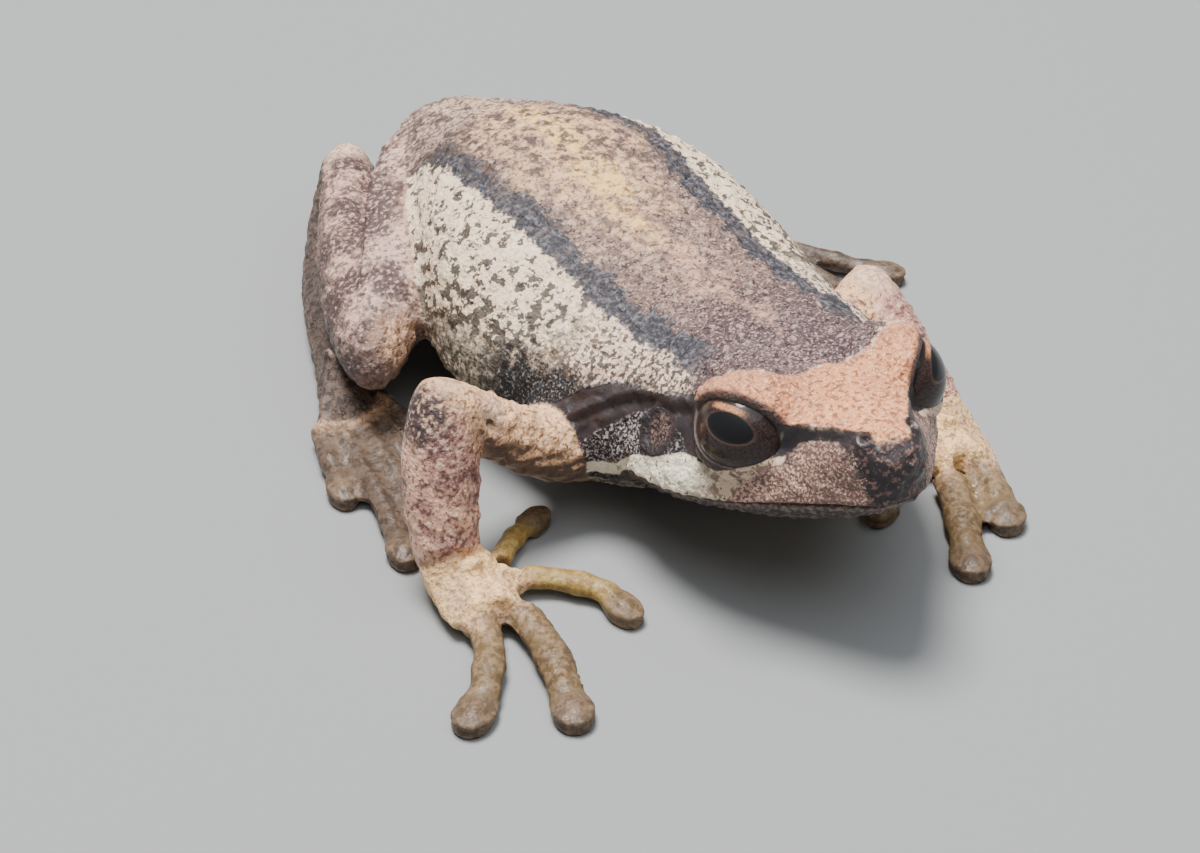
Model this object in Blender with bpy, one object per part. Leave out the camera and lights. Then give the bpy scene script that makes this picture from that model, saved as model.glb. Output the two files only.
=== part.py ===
"""A southern brown tree frog (Litoria ewingii), life size, as a still model for a museum.

It sits on the floor facing -Y, head raised, with +Z up and its own left towards +X. Every length
below is in millimetres, and make_node turns them into metres. Each limb is a chain of smooth
tapering tubes cut apart by flat planes at its joints, and the trunk and the head are lofts
through cross sections.
"""

import math

import bmesh
import bpy
from mathutils import Matrix, Vector

MM = 0.001
GAP = 0.3  # clear space between neighbouring nodes
UP = Vector((0, 0, 1))
CENTRE = Vector((-1.68, 1.55, 0))  # of the frog's bounding box, which to_object puts at the origin

# Head: the lip line is one plane, from the corner of the mouth up to the tip of the snout.
SNOUT_TIP = (0, -20.9, 10.0)
MOUTH_CORNER = Vector((0, -8.8, 5.2))
LIP_RISE = 0.315  # how far the lip line climbs for each millimetre forwards
NECK = Vector((0, -7.0, 6))
HEAD_TURN = Matrix.Rotation(math.radians(-2), 4, "Z")  # towards the frog's right, about the neck

EYE_RADIUS = 2.2
EYE_CENTRE = (3.6, -13.9, 9.45)
EYE_AIM = Vector((0.81, -0.45, 0.37))  # of the left eye
EYE_GAP = 0.12
BROW_RADII = (2.75, 3.1, 2.6)
BROW_CENTRE = (3.4, -13.6, 9.6)
LID_OPENING = (1.7, 2.1, 1.4)

# Each section of the head: y, height of its top, half width and height of the ridge from eye to
# nostril, half width at the lip, height of the underside.
HEAD_SECTIONS = (
    (-20.65, 10.9, 0.7, 10.7, 1.0, 8.6),
    (-20.0, 11.5, 1.2, 11.2, 1.8, 7.9),
    (-18.9, 11.8, 1.8, 11.3, 2.8, 7.1),
    (-17.2, 11.8, 2.4, 11.2, 4.0, 6.0),
    (-15.5, 11.6, 2.9, 10.9, 5.3, 5.3),
    (-13.6, 11.4, 3.4, 10.5, 6.4, 4.6),
    (-11.5, 11.2, 4.3, 10.0, 7.1, 3.7),
    (-9.0, 11.0, 5.2, 9.6, 7.4, 2.7),
    (-6.5, 10.8, 5.8, 9.3, 7.7, 1.6),
    (-4.5, 10.7, 6.2, 9.2, 8.2, 0.8),
)

# The trunk's axis runs over the floor from the neck to the rump. Each section: how far along the
# axis, half width, height of the back, height of the widest line, height of the belly.
TRUNK_START = Vector((0.0, -8.0, 0.0))
TRUNK_END = Vector((-3.0, 20.0, 0.0))
RUMP_REACH = 0.5  # from the last section to the end of the rump
FULLNESS = 0.9  # of a section: 1 is an ellipse, less is squarer
TRUNK_SECTIONS = (
    (-2.0, 6.4, 10.6, 5.0, 2.2),
    (0.0, 7.1, 10.6, 4.8, 1.4),
    (3.0, 8.1, 10.4, 4.5, 0.5),
    (7.0, 9.0, 10.4, 4.8, 0.0),
    (11.0, 9.4, 11.2, 5.3, -0.3),
    (15.0, 8.9, 12.1, 6.2, -0.3),
    (19.0, 7.3, 11.9, 6.2, -0.2),
    (22.5, 5.7, 10.8, 5.8, 0.4),
    (25.5, 4.3, 9.6, 5.4, 1.2),
    (28.0, 3.1, 8.6, 5.2, 2.2),
    (29.2, 1.8, 7.4, 5.2, 3.4),
)

# Limbs: each segment is a row of stations, which are x, y, z, half width and half height.
RIGHT_ARM = {
    "upper_arm": ((-5.6, -4.2, 3.2, 1.8, 1.9), (-9.4, -4.6, 4.3, 1.7, 1.8),
                  (-12.5, -4.5, 6.7, 1.45, 1.5), (-14.9, -4.6, 8.8, 1.5, 1.5)),
    "forearm": ((-14.9, -4.6, 8.8, 1.5, 1.5), (-15.4, -5.4, 6.4, 1.9, 1.8),
                (-15.8, -6.3, 3.8, 1.8, 1.7), (-16.0, -7.1, 1.7, 1.5, 1.5)),
    "hand": ((-16.0, -7.1, 1.7, 1.6, 1.5), (-15.6, -8.4, 1.1, 2.1, 1.15),
             (-15.3, -10.4, 0.9, 2.2, 1.05)),
}
LEFT_ARM = {
    "upper_arm": ((5.0, -4.0, 4.4, 1.6, 1.6), (7.2, -3.6, 4.5, 1.5, 1.5),
                  (9.0, -2.7, 4.6, 1.35, 1.35), (10.5, -1.6, 4.7, 1.5, 1.5)),
    "forearm": ((10.5, -1.6, 4.7, 1.5, 1.5), (10.3, -3.8, 3.8, 1.7, 1.7),
                (10.2, -6.6, 2.7, 1.6, 1.6), (10.2, -8.6, 1.7, 1.5, 1.5)),
    "hand": ((10.2, -8.6, 1.7, 1.6, 1.5), (9.9, -9.8, 1.1, 2.0, 1.15),
             (9.5, -11.7, 0.9, 2.1, 1.05)),
}
RIGHT_LEG = {
    "thigh": ((-4.4, 17.6, 5.4, 3.0, 3.2), (-7.8, 14.0, 5.5, 3.0, 3.1),
              (-11.0, 9.4, 5.1, 2.5, 2.7), (-13.5, 5.9, 4.6, 1.8, 2.0)),
    "shank": ((-13.5, 5.9, 4.6, 1.8, 2.0), (-12.1, 11.0, 4.7, 1.8, 2.2),
              (-9.6, 16.8, 4.4, 1.7, 2.0), (-7.0, 22.4, 4.1, 1.5, 1.6)),
    "tarsus": ((-7.0, 22.4, 4.1, 1.5, 1.6), (-9.0, 20.6, 2.2, 1.25, 1.3),
               (-11.2, 17.0, 1.15, 1.2, 1.3), (-12.8, 12.8, 1.1, 1.2, 1.3)),
    "foot": ((-12.8, 12.8, 1.1, 1.2, 1.3), (-13.6, 9.4, 1.0, 1.5, 1.05),
             (-14.7, 5.6, 0.85, 1.9, 1.0)),
}
LEFT_LEG = {
    "thigh": ((-2.6, 17.4, 5.0, 2.7, 2.9), (2.4, 15.4, 4.9, 2.7, 2.9),
              (6.2, 11.8, 4.2, 2.4, 2.6), (8.8, 7.8, 3.6, 1.8, 1.9)),
    "shank": ((8.8, 7.8, 3.6, 1.8, 1.9), (7.4, 13.2, 4.2, 1.8, 1.9),
              (4.4, 18.5, 3.4, 1.6, 1.7), (0.4, 22.8, 2.9, 1.3, 1.3)),
    "tarsus": ((0.4, 22.8, 2.9, 1.3, 1.3), (2.3, 21.6, 1.9, 1.2, 1.2),
               (5.1, 18.8, 1.15, 1.2, 1.3), (7.4, 14.9, 1.1, 1.2, 1.3)),
    "foot": ((7.4, 14.9, 1.1, 1.2, 1.3), (8.7, 12.0, 1.0, 1.5, 1.05),
             (10.4, 8.6, 0.85, 1.9, 1.0)),
}

# Digits, from the innermost: half width of the digit and of its disc, and the points on the floor
# from its root in the hand or foot, over its joints, to the middle of its disc.
RIGHT_FINGERS = (
    (0.50, 0.65, ((-13.4, -7.2), (-12.0, -5.8), (-10.4, -5.0))),
    (0.60, 0.80, ((-13.0, -8.7), (-11.2, -9.7), (-10.0, -11.2), (-9.8, -12.6))),
    (0.80, 1.05, ((-14.2, -10.8), (-14.1, -13.6), (-14.8, -16.2), (-15.1, -17.4))),
    (0.75, 1.05, ((-16.2, -10.6), (-16.4, -12.4), (-18.0, -14.6), (-19.0, -15.5))),
)
LEFT_FINGERS = (
    (0.50, 0.65, ((8.0, -8.8), (6.4, -8.2), (4.8, -8.6))),
    (0.60, 0.80, ((7.7, -10.4), (6.0, -11.2), (4.6, -12.3))),
    (0.80, 1.05, ((8.5, -12.2), (7.6, -14.6), (6.5, -16.6), (6.1, -17.5))),
    (0.75, 1.05, ((10.4, -12.1), (10.2, -13.6), (9.5, -15.5))),
)
RIGHT_TOES = (
    (0.42, 0.60, ((-12.9, 6.5), (-12.2, 5.0), (-11.8, 3.8))),
    (0.45, 0.65, ((-13.5, 5.5), (-13.1, 3.2), (-13.0, 1.4))),
    (0.50, 0.75, ((-14.5, 5.0), (-14.6, 1.6), (-15.0, -1.8))),
    (0.52, 0.85, ((-15.6, 5.1), (-16.0, 0.6), (-16.8, -3.9))),
    (0.50, 0.85, ((-16.4, 6.1), (-17.0, 3.8), (-17.3, 1.6))),
)
LEFT_TOES = (
    (0.42, 0.60, ((8.6, 8.4), (8.0, 6.9), (8.0, 5.2))),
    (0.45, 0.65, ((9.6, 7.5), (9.4, 5.6), (9.7, 3.4))),
    (0.50, 0.75, ((10.7, 7.1), (10.9, 4.4), (11.8, 1.2))),
    (0.52, 0.85, ((11.7, 7.4), (12.8, 4.0), (13.6, -0.8))),
    (0.50, 0.85, ((12.2, 8.5), (14.0, 6.3), (15.8, 4.4))),
)
ROOT_HEIGHT = 0.85  # of a digit's middle, where it leaves the hand or foot
KNUCKLE_HEIGHT = 0.7
DISC_HEIGHT = 0.45
DISC_THICKNESS = 0.68  # from its middle to its top, and below its middle the floor flattens it
AGAINST_TRUNK = ("upper_arm", "thigh", "shank")

COLOURS = {
    "trunk": (0.30, 0.21, 0.18),
    "head": (0.56, 0.36, 0.27),
    "lower_jaw": (0.16, 0.10, 0.08),
    "arm": (0.36, 0.23, 0.18),
    "leg": (0.30, 0.20, 0.17),
    "finger": (0.34, 0.24, 0.10),
    "toe": (0.28, 0.20, 0.10),
    "eye": (0.03, 0.02, 0.02),
}


def clear_scene():
    for obj in list(bpy.data.objects):
        bpy.data.objects.remove(obj)


def make_material(name, colour, roughness):
    material = bpy.data.materials.new(name)
    material.use_nodes = True
    shader = material.node_tree.nodes["Principled BSDF"]
    shader.inputs["Base Color"].default_value = (*colour, 1)
    shader.inputs["Roughness"].default_value = roughness
    shader.inputs["Metallic"].default_value = 0
    return material


def smooth_rows(rows, steps, closed=False):
    """A Catmull-Rom curve through rows of numbers, with this many steps from row to row."""
    rows = [Vector(row) for row in rows]
    if closed:
        rows = [rows[-1], *rows, *rows[:2]]
    else:
        rows = [2 * rows[0] - rows[1], *rows, 2 * rows[-1] - rows[-2]]
    curve = []
    for before, start, end, after in zip(rows, rows[1:], rows[2:], rows[3:]):
        for step in range(steps):
            t = step / steps
            bend = 2 * before - 5 * start + 4 * end - after
            twist = 3 * start - before - 3 * end + after
            curve.append(start + 0.5 * t * (end - before + t * (bend + t * twist)))
    return curve if closed else [*curve, rows[-2]]


def loft(rings, first_pole, last_pole):
    """A closed mesh through rings of points, which end in one point at each end."""
    mesh = bmesh.new()
    loops = [[mesh.verts.new(point) for point in ring] for ring in rings]
    first, last = mesh.verts.new(first_pole), mesh.verts.new(last_pole)
    count = len(loops[0])
    for i in range(count):
        j = (i + 1) % count
        mesh.faces.new((first, loops[0][j], loops[0][i]))
        mesh.faces.new((last, loops[-1][i], loops[-1][j]))
        for ring, after in zip(loops, loops[1:]):
            mesh.faces.new((ring[i], ring[j], after[j], after[i]))
    bmesh.ops.recalc_face_normals(mesh, faces=mesh.faces)
    return mesh


def tube(stations, steps, sides):
    """A smooth tube through its stations, with a dome on each end."""
    rows = smooth_rows(stations, steps)
    places = [Vector(row[:3]) for row in rows]
    ribs = []
    across = None
    for i, row in enumerate(rows):
        ahead = (places[min(i + 1, len(rows) - 1)] - places[max(i - 1, 0)]).normalized()
        level = ahead.cross(UP)
        if level.length > 0.5 or across is None:
            across = level
        across = (across - across.project(ahead)).normalized()
        ribs.append((places[i], ahead, across * row[3], across.cross(ahead) * row[4]))
    bulge = math.sqrt(0.5)
    slices = [(ribs[0], -bulge, bulge), *((rib, 0, 1) for rib in ribs), (ribs[-1], bulge, bulge)]
    turns = [2 * math.pi * k / sides for k in range(sides)]
    rings = []
    for (place, ahead, wide, tall), out, scale in slices:
        middle = place + out * tall.length * ahead
        rings.append([middle + scale * (wide * math.cos(a) + tall * math.sin(a)) for a in turns])
    (start, first, _, first_tall), (end, last, _, last_tall) = ribs[0], ribs[-1]
    return loft(rings, start - first * first_tall.length, end + last * last_tall.length)


def cut_flat(mesh, point, normal):
    """Cuts off what lies ahead of a plane, and closes the cut with a flat face."""
    parts = mesh.verts[:] + mesh.edges[:] + mesh.faces[:]
    place = point - normal * GAP / 2
    bmesh.ops.bisect_plane(mesh, geom=parts, plane_co=place, plane_no=normal, clear_outer=True)
    bmesh.ops.holes_fill(mesh, edges=mesh.edges)


def rest_on_floor(mesh):
    """Presses whatever would be below the floor flat onto it."""
    for vertex in mesh.verts:
        vertex.co.z = max(vertex.co.z, 0)


def to_object(name, mesh):
    bmesh.ops.translate(mesh, vec=-CENTRE, verts=mesh.verts)
    bmesh.ops.scale(mesh, vec=(MM, MM, MM), verts=mesh.verts)
    data = bpy.data.meshes.new(name)
    mesh.to_mesh(data)
    mesh.free()
    obj = bpy.data.objects.new(name, data)
    bpy.context.scene.collection.objects.link(obj)
    return obj


def make_node(name, mesh, kind, roughness=0.6):
    rest_on_floor(mesh)
    node = to_object(name, mesh)
    node.data.shade_smooth()
    node.data.set_sharp_from_angle(angle=math.radians(50))
    node.data.materials.append(make_material(name + "_finish", COLOURS[kind], roughness))
    return node


def make_cutter(name, mesh):
    cutter = to_object(name, mesh)
    cutter.hide_render = True
    cutter.display_type = "WIRE"
    return cutter


def combine(node, other, operation):
    step = node.modifiers.new(f"{operation.lower()}_{other.name}", "BOOLEAN")
    step.operation = operation
    step.solver = "EXACT"
    step.object = other


def ellipsoid(centre, radii, sides=18, rings=10):
    mesh = bmesh.new()
    place = Matrix.Translation(centre) @ Matrix.Diagonal((*radii, 1))
    bmesh.ops.create_uvsphere(mesh, u_segments=sides, v_segments=rings, radius=1, matrix=place)
    return mesh


def mirrored(point, side):
    """The same place on the frog's left (side 1) or right (side -1)."""
    return Vector((side * point[0], point[1], point[2]))


def lip_height(y):
    return MOUTH_CORNER.z + LIP_RISE * (MOUTH_CORNER.y - y)


def head_ring(y, top, ridge_x, ridge_z, lip_x, low):
    """One cross section of the head: flat on top, a ridge, a sloping cheek, the lip, the jaw."""
    lip_z = lip_height(y)
    crown = (0.55 * ridge_x, top - 0.15 * (top - ridge_z))
    cheek = (0.45 * ridge_x + 0.55 * lip_x, (ridge_z + lip_z) / 2)
    jaw = (0.85 * lip_x, lip_z + 0.6 * (low - lip_z))
    throat = (0.5 * lip_x, low + 0.08 * (lip_z - low))
    half = [crown, (ridge_x, ridge_z), cheek, (lip_x, lip_z), jaw, throat]
    outline = [(0, top), *half, (0, low), *((-x, z) for x, z in reversed(half))]
    return [Vector((x, y, z)) for x, z in smooth_rows(outline, 2, closed=True)]


def turn_head(mesh):
    mesh.transform(Matrix.Translation(NECK) @ HEAD_TURN @ Matrix.Translation(-NECK))


def head_mesh():
    rings = [head_ring(*row) for row in smooth_rows(HEAD_SECTIONS, 2)]
    mesh = loft(rings, SNOUT_TIP, NECK + Vector((0, 4, 0)))
    turn_head(mesh)
    cut_flat(mesh, NECK, Vector((0, 1, 0)))
    return mesh


def mouth_wedge(clearance):
    """All that is below the lip line and ahead of the corner of the mouth."""
    size, depth = 30, 12
    mesh = bmesh.new()
    bmesh.ops.create_cube(mesh, size=1, matrix=Matrix.Diagonal((size, size, depth, 1)))
    corner = MOUTH_CORNER + Vector((0, clearance, clearance))
    tilt = Matrix.Rotation(-math.atan(LIP_RISE), 4, "X")
    mesh.transform(Matrix.Translation(corner) @ tilt @ Matrix.Translation((0, -size / 2, -depth / 2)))
    turn_head(mesh)
    return mesh


def head_ellipsoid(centre, radii):
    mesh = ellipsoid(centre, radii)
    turn_head(mesh)
    return mesh


def build_head():
    head = make_node("head", head_mesh(), "head")
    jaw = make_node("lower_jaw", head_mesh(), "lower_jaw")
    for side, word in ((1, "left"), (-1, "right")):
        brow = make_cutter(f"brow_{word}", head_ellipsoid(mirrored(BROW_CENTRE, side), BROW_RADII))
        combine(head, brow, "UNION")
    combine(head, make_cutter("mouth_above", mouth_wedge(GAP)), "DIFFERENCE")
    combine(jaw, make_cutter("mouth_below", mouth_wedge(0)), "INTERSECT")
    for side, word in ((1, "left"), (-1, "right")):
        centre = mirrored(EYE_CENTRE, side)
        socket = make_cutter(f"socket_{word}", head_ellipsoid(centre, [EYE_RADIUS + EYE_GAP] * 3))
        pupil = centre + EYE_RADIUS * mirrored(EYE_AIM, side)
        opening = make_cutter(f"opening_{word}", head_ellipsoid(pupil, LID_OPENING))
        combine(head, socket, "DIFFERENCE")
        combine(head, opening, "DIFFERENCE")
        make_node(f"eye_{word}", head_ellipsoid(centre, [EYE_RADIUS] * 3), "eye", roughness=0.1)


def trunk_mesh(clearance=0, sides=24):
    """The trunk, or with a clearance the same shape that much larger all over."""
    ahead = (TRUNK_END - TRUNK_START).normalized()
    across = ahead.cross(UP)
    rings = []
    for along, half_width, back, widest, belly in smooth_rows(TRUNK_SECTIONS, 2):
        middle = TRUNK_START + along * ahead + widest * UP
        ring = []
        for k in range(sides):
            angle = 2 * math.pi * k / sides
            out, up = round_square(angle)
            reach = (back - widest if up > 0 else widest - belly) + clearance
            ring.append(middle + across * out * (half_width + clearance) + UP * up * reach)
        rings.append(ring)
    first, last = TRUNK_SECTIONS[0], TRUNK_SECTIONS[-1]
    start = TRUNK_START + ahead * (first[0] - 1) + UP * first[3]
    end = TRUNK_START + ahead * (last[0] + RUMP_REACH + clearance) + UP * last[3]
    return loft(rings, start, end)


def round_square(angle):
    """A point of a circle pushed out a little towards the corners of a square."""
    return [math.copysign(abs(v) ** FULLNESS, v) for v in (math.cos(angle), math.sin(angle))]


def build_trunk():
    mesh = trunk_mesh()
    cut_flat(mesh, NECK, Vector((0, -1, 0)))
    make_node("trunk", mesh, "trunk")


def overall_direction(stations):
    return (Vector(stations[-1][:3]) - Vector(stations[0][:3])).normalized()


def limb_meshes(segments, sides):
    """One tube for each segment, cut apart by the plane that halves the angle at each joint."""
    meshes = [tube(stations, 2, sides) for stations in segments.values()]
    stations = list(segments.values())
    for i in range(len(meshes) - 1):
        joint = Vector(stations[i][-1][:3])
        fold = overall_direction(stations[i]) + overall_direction(stations[i + 1])
        cut_flat(meshes[i], joint, fold.normalized())
        cut_flat(meshes[i + 1], joint, -fold.normalized())
    return meshes


def digit_mesh(half_width, disc, points):
    """A digit from inside its hand or foot to its disc, with where it starts and its direction."""
    root, *knuckles, tip = [Vector((*point, 0)) for point in points]
    start = (knuckles[0] - root).normalized()
    end = (tip - knuckles[-1]).normalized()
    neck = tip - 1.3 * disc * end
    stations = [(root - start + ROOT_HEIGHT * UP, half_width, 0.6)]
    stations += [(root + ROOT_HEIGHT * UP, half_width, 0.6)]
    stations += [(knuckle + KNUCKLE_HEIGHT * UP, half_width, 0.6) for knuckle in knuckles]
    stations += [(neck + 0.55 * UP, 0.85 * half_width, 0.5)]
    stations += [(tip + DISC_HEIGHT * UP, disc, DISC_THICKNESS)]
    stations += [(tip + 0.5 * disc * end + DISC_HEIGHT * UP, 0.8 * disc, DISC_THICKNESS)]
    mesh = tube([(*place, width, height) for place, width, height in stations], 1, 8)
    cut_flat(mesh, root, -start)
    return mesh, root, start


def build_limb(word, kind, segments, digits, digit_kind, trunk_cutter):
    meshes = limb_meshes(segments, 12)
    for number, (half_width, disc, points) in enumerate(digits, start=1):
        mesh, root, start = digit_mesh(half_width, disc, points)
        cut_flat(meshes[-1], root, start)
        make_node(f"{word}_{digit_kind}_{number}", mesh, digit_kind)
    for name, mesh in zip(segments, meshes):
        node = make_node(f"{word}_{name}", mesh, kind)
        if name in AGAINST_TRUNK:
            combine(node, trunk_cutter, "DIFFERENCE")


def build_frog():
    clear_scene()
    build_head()
    build_trunk()
    trunk_cutter = make_cutter("trunk_clearance", trunk_mesh(GAP))
    build_limb("right", "arm", RIGHT_ARM, RIGHT_FINGERS, "finger", trunk_cutter)
    build_limb("left", "arm", LEFT_ARM, LEFT_FINGERS, "finger", trunk_cutter)
    build_limb("right", "leg", RIGHT_LEG, RIGHT_TOES, "toe", trunk_cutter)
    build_limb("left", "leg", LEFT_LEG, LEFT_TOES, "toe", trunk_cutter)


build_frog()
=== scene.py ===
"""A southern brown tree frog at rest, life size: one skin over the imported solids, and two eyes."""
import math

import bpy
import numpy as np
from mathutils import Matrix, Vector, noise
from mathutils.bvhtree import BVHTree
from mathutils.kdtree import KDTree


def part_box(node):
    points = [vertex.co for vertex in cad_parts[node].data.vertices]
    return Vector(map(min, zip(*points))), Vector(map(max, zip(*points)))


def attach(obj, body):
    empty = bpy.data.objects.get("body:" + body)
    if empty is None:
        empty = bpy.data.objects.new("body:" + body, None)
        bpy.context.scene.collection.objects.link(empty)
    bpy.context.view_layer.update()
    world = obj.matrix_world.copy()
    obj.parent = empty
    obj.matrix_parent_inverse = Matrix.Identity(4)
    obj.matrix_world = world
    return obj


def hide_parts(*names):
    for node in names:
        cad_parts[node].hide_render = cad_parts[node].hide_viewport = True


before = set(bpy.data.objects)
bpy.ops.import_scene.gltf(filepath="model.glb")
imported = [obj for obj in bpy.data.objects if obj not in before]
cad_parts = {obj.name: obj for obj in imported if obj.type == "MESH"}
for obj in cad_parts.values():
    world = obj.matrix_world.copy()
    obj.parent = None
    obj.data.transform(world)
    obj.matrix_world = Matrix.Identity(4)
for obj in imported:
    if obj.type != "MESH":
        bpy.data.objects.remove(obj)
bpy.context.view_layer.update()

# ---------------------------------------------------------------------------------------------
# Floor, lights and camera.
# A plain pale matt floor under two soft lights and an even sky, with the camera close above
# the frog's right.
# ---------------------------------------------------------------------------------------------
MM = 0.001

bpy.ops.object.select_all(action="DESELECT")
bpy.ops.mesh.primitive_plane_add(size=1.6, location=(0, 0, -0.00001))
floor = bpy.context.object
floor.name = "floor"
paving = bpy.data.materials.new("pale_floor")
paving.use_nodes = True
paving.node_tree.nodes["Principled BSDF"].inputs["Base Color"].default_value = (0.275, 0.285, 0.29, 1)
paving.node_tree.nodes["Principled BSDF"].inputs["Roughness"].default_value = 0.75
floor.data.materials.append(paving)


def add_light(name, place, aim, size, watts, colour):
    data = bpy.data.lights.new(name, "AREA")
    data.shape = "DISK"
    data.size = size
    data.energy = watts
    data.color = colour
    light = bpy.data.objects.new(name, data)
    light.location = place
    light.rotation_euler = (Vector(aim) - Vector(place)).to_track_quat("-Z", "Y").to_euler()
    bpy.context.scene.collection.objects.link(light)


add_light("key", (-0.03, 0.10, 0.52), (0, 0, 0), 0.22, 6.0, (1.0, 0.975, 0.94))
add_light("overhead", (0.05, -0.12, 0.62), (0, 0, 0), 0.80, 3.4, (0.94, 0.97, 1.0))

sky = bpy.data.worlds.new("soft_room")
sky.use_nodes = True
sky.node_tree.nodes["Background"].inputs["Color"].default_value = (0.88, 0.93, 1.0, 1)
sky.node_tree.nodes["Background"].inputs["Strength"].default_value = 0.16
bpy.context.scene.world = sky

lens = bpy.data.cameras.new("camera")
lens.lens = 87.3
lens.sensor_width = 36
lens.clip_start = 0.01
camera = bpy.data.objects.new("camera", lens)
AIM = Vector((-5.22, -6.75, 5.0)) * MM
CAMERA_DISTANCE = 137 * MM
turn, lift = math.radians(-29.2), math.radians(37.3)
back = Vector((math.sin(turn) * math.cos(lift), -math.cos(turn) * math.cos(lift), math.sin(lift)))
camera.location = AIM + CAMERA_DISTANCE * back
camera.rotation_euler = back.to_track_quat("Z", "Y").to_euler()
bpy.context.scene.collection.objects.link(camera)
bpy.context.scene.camera = camera

# ---------------------------------------------------------------------------------------------
# Skin, the whole body.
# Living skin over the flesh, grown in one piece. The flesh solids are copied and closed over
# their joints into one body. Folds, lids, nostrils and granules are then worked into it.
# ---------------------------------------------------------------------------------------------
flesh = [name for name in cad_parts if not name.startswith("eye")]
SOCKET_PLUG = 2.42 * MM
WEB_PLUG = 0.72 * MM
WEB_DEPTH = 0.5 * MM
OFF_FLOOR = 0.02 * MM
body_parts = []


def plug(radius, middle, segments):
    """A ball of flesh that fills a gap between the solids."""
    bpy.ops.mesh.primitive_uv_sphere_add(
        segments=segments, ring_count=segments // 2, radius=radius, location=middle
    )
    body_parts.append(bpy.context.object)


for word in ("left", "right"):
    low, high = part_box("eye_" + word)
    plug(SOCKET_PLUG, (low + high) / 2, 32)
for name in flesh:
    if "toe" not in name:
        continue
    low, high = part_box(name.rsplit("_", 2)[0] + "_foot")
    sole = (low + high) / 2
    corners = [vertex.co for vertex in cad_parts[name].data.vertices]
    root = min(corners, key=lambda corner: (corner - sole).xy.length)
    middle = root + WEB_DEPTH * (sole - root).normalized()
    middle.z = WEB_PLUG + OFF_FLOOR
    plug(WEB_PLUG, middle, 16)
for name in flesh:
    part = bpy.data.objects.new("flesh_" + name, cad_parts[name].data.copy())
    bpy.context.scene.collection.objects.link(part)
    body_parts.append(part)
bpy.ops.object.select_all(action="DESELECT")
for part in body_parts:
    part.select_set(True)
skin = body_parts[-1]
bpy.context.view_layer.objects.active = skin
bpy.ops.object.join()
skin.name = "skin"
bpy.ops.object.transform_apply(location=True, rotation=True, scale=True)

bpy.ops.object.mode_set(mode="EDIT")
bpy.ops.mesh.select_all(action="SELECT")
bpy.ops.mesh.remove_doubles(threshold=1e-6)
bpy.ops.mesh.tris_convert_to_quads(face_threshold=math.radians(25), shape_threshold=math.radians(40))
bpy.ops.mesh.select_mode(type="EDGE")
bpy.ops.mesh.select_all(action="DESELECT")
bpy.ops.mesh.edges_select_sharp(sharpness=math.radians(55))
bpy.ops.transform.edge_crease(value=1)
bpy.ops.object.mode_set(mode="OBJECT")


def finish_with(obj, name, kind, **settings):
    """Adds one of Blender's modifiers and makes its result final."""
    step = obj.modifiers.new(name, kind)
    for key, value in settings.items():
        setattr(step, key, value)
    bpy.context.view_layer.objects.active = obj
    bpy.ops.object.modifier_apply(modifier=name)


CLOSING = 0.25 * MM
VOXEL = 0.14 * MM
finish_with(skin, "round", "SUBSURF", levels=1, render_levels=1)
finish_with(skin, "swell", "DISPLACE", strength=CLOSING, mid_level=0)
finish_with(skin, "cast", "REMESH", mode="VOXEL", voxel_size=VOXEL, use_smooth_shade=True)
finish_with(skin, "shrink", "DISPLACE", strength=-CLOSING, mid_level=0)


def points_of(mesh):
    """The mesh's points, in millimetres."""
    flat = np.empty(len(mesh.vertices) * 3)
    mesh.vertices.foreach_get("co", flat)
    return flat.reshape(-1, 3) / MM


def normals_of(mesh):
    """The way out of the surface at each point."""
    flat = np.empty(len(mesh.vertices) * 3)
    mesh.vertex_normals.foreach_get("vector", flat)
    return flat.reshape(-1, 3)


def move_points(mesh, points):
    """Puts the mesh's points where these are, in millimetres."""
    mesh.vertices.foreach_set("co", (points * MM).ravel())
    mesh.update()


def soften(mesh, values, rounds):
    """Spreads a value over the surface, from each point to its neighbours."""
    ends = np.empty(len(mesh.edges) * 2, int)
    mesh.edges.foreach_get("vertices", ends)
    one, two = ends.reshape(-1, 2).T
    count = len(mesh.vertices)
    links = np.bincount(one, minlength=count) + np.bincount(two, minlength=count) + 1
    for _ in range(rounds):
        total = np.bincount(one, values[two], count) + np.bincount(two, values[one], count)
        values = (total + values) / links
    return values


def nearest_parts(points):
    """The name of the flesh solid that each point lies on."""
    corners, faces, owner = [], [], []
    for name in flesh:
        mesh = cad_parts[name].data
        start = len(corners)
        corners += [vertex.co / MM for vertex in mesh.vertices]
        faces += [[start + v for v in face.vertices] for face in mesh.polygons]
        owner += [name] * len(mesh.polygons)
    tree = BVHTree.FromPolygons(corners, faces)
    return np.array([owner[tree.find_nearest(point)[2]] for point in points])


def on_parts(names, *words):
    """1 for a point on a solid whose name holds one of these words, and 0 elsewhere."""
    return np.any([np.char.find(names, word) >= 0 for word in words], axis=0).astype(float)


def smooth_step(start, end, values):
    """Rises smoothly from 0 to 1 as the values go from start to end."""
    t = np.clip((values - start) / (end - start), 0, 1)
    return t * t * (3 - 2 * t)


def bell(distance, width):
    """1 at no distance, falling smoothly to nearly 0 at twice this width."""
    return np.exp(-((distance / width) ** 2))


def add_group(obj, name, weights):
    """Marks how strongly each point takes part in a later step."""
    group = obj.vertex_groups.new(name=name)
    for index, weight in enumerate(weights):
        if weight > 0.01:
            group.add((index,), float(weight), "REPLACE")


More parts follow.
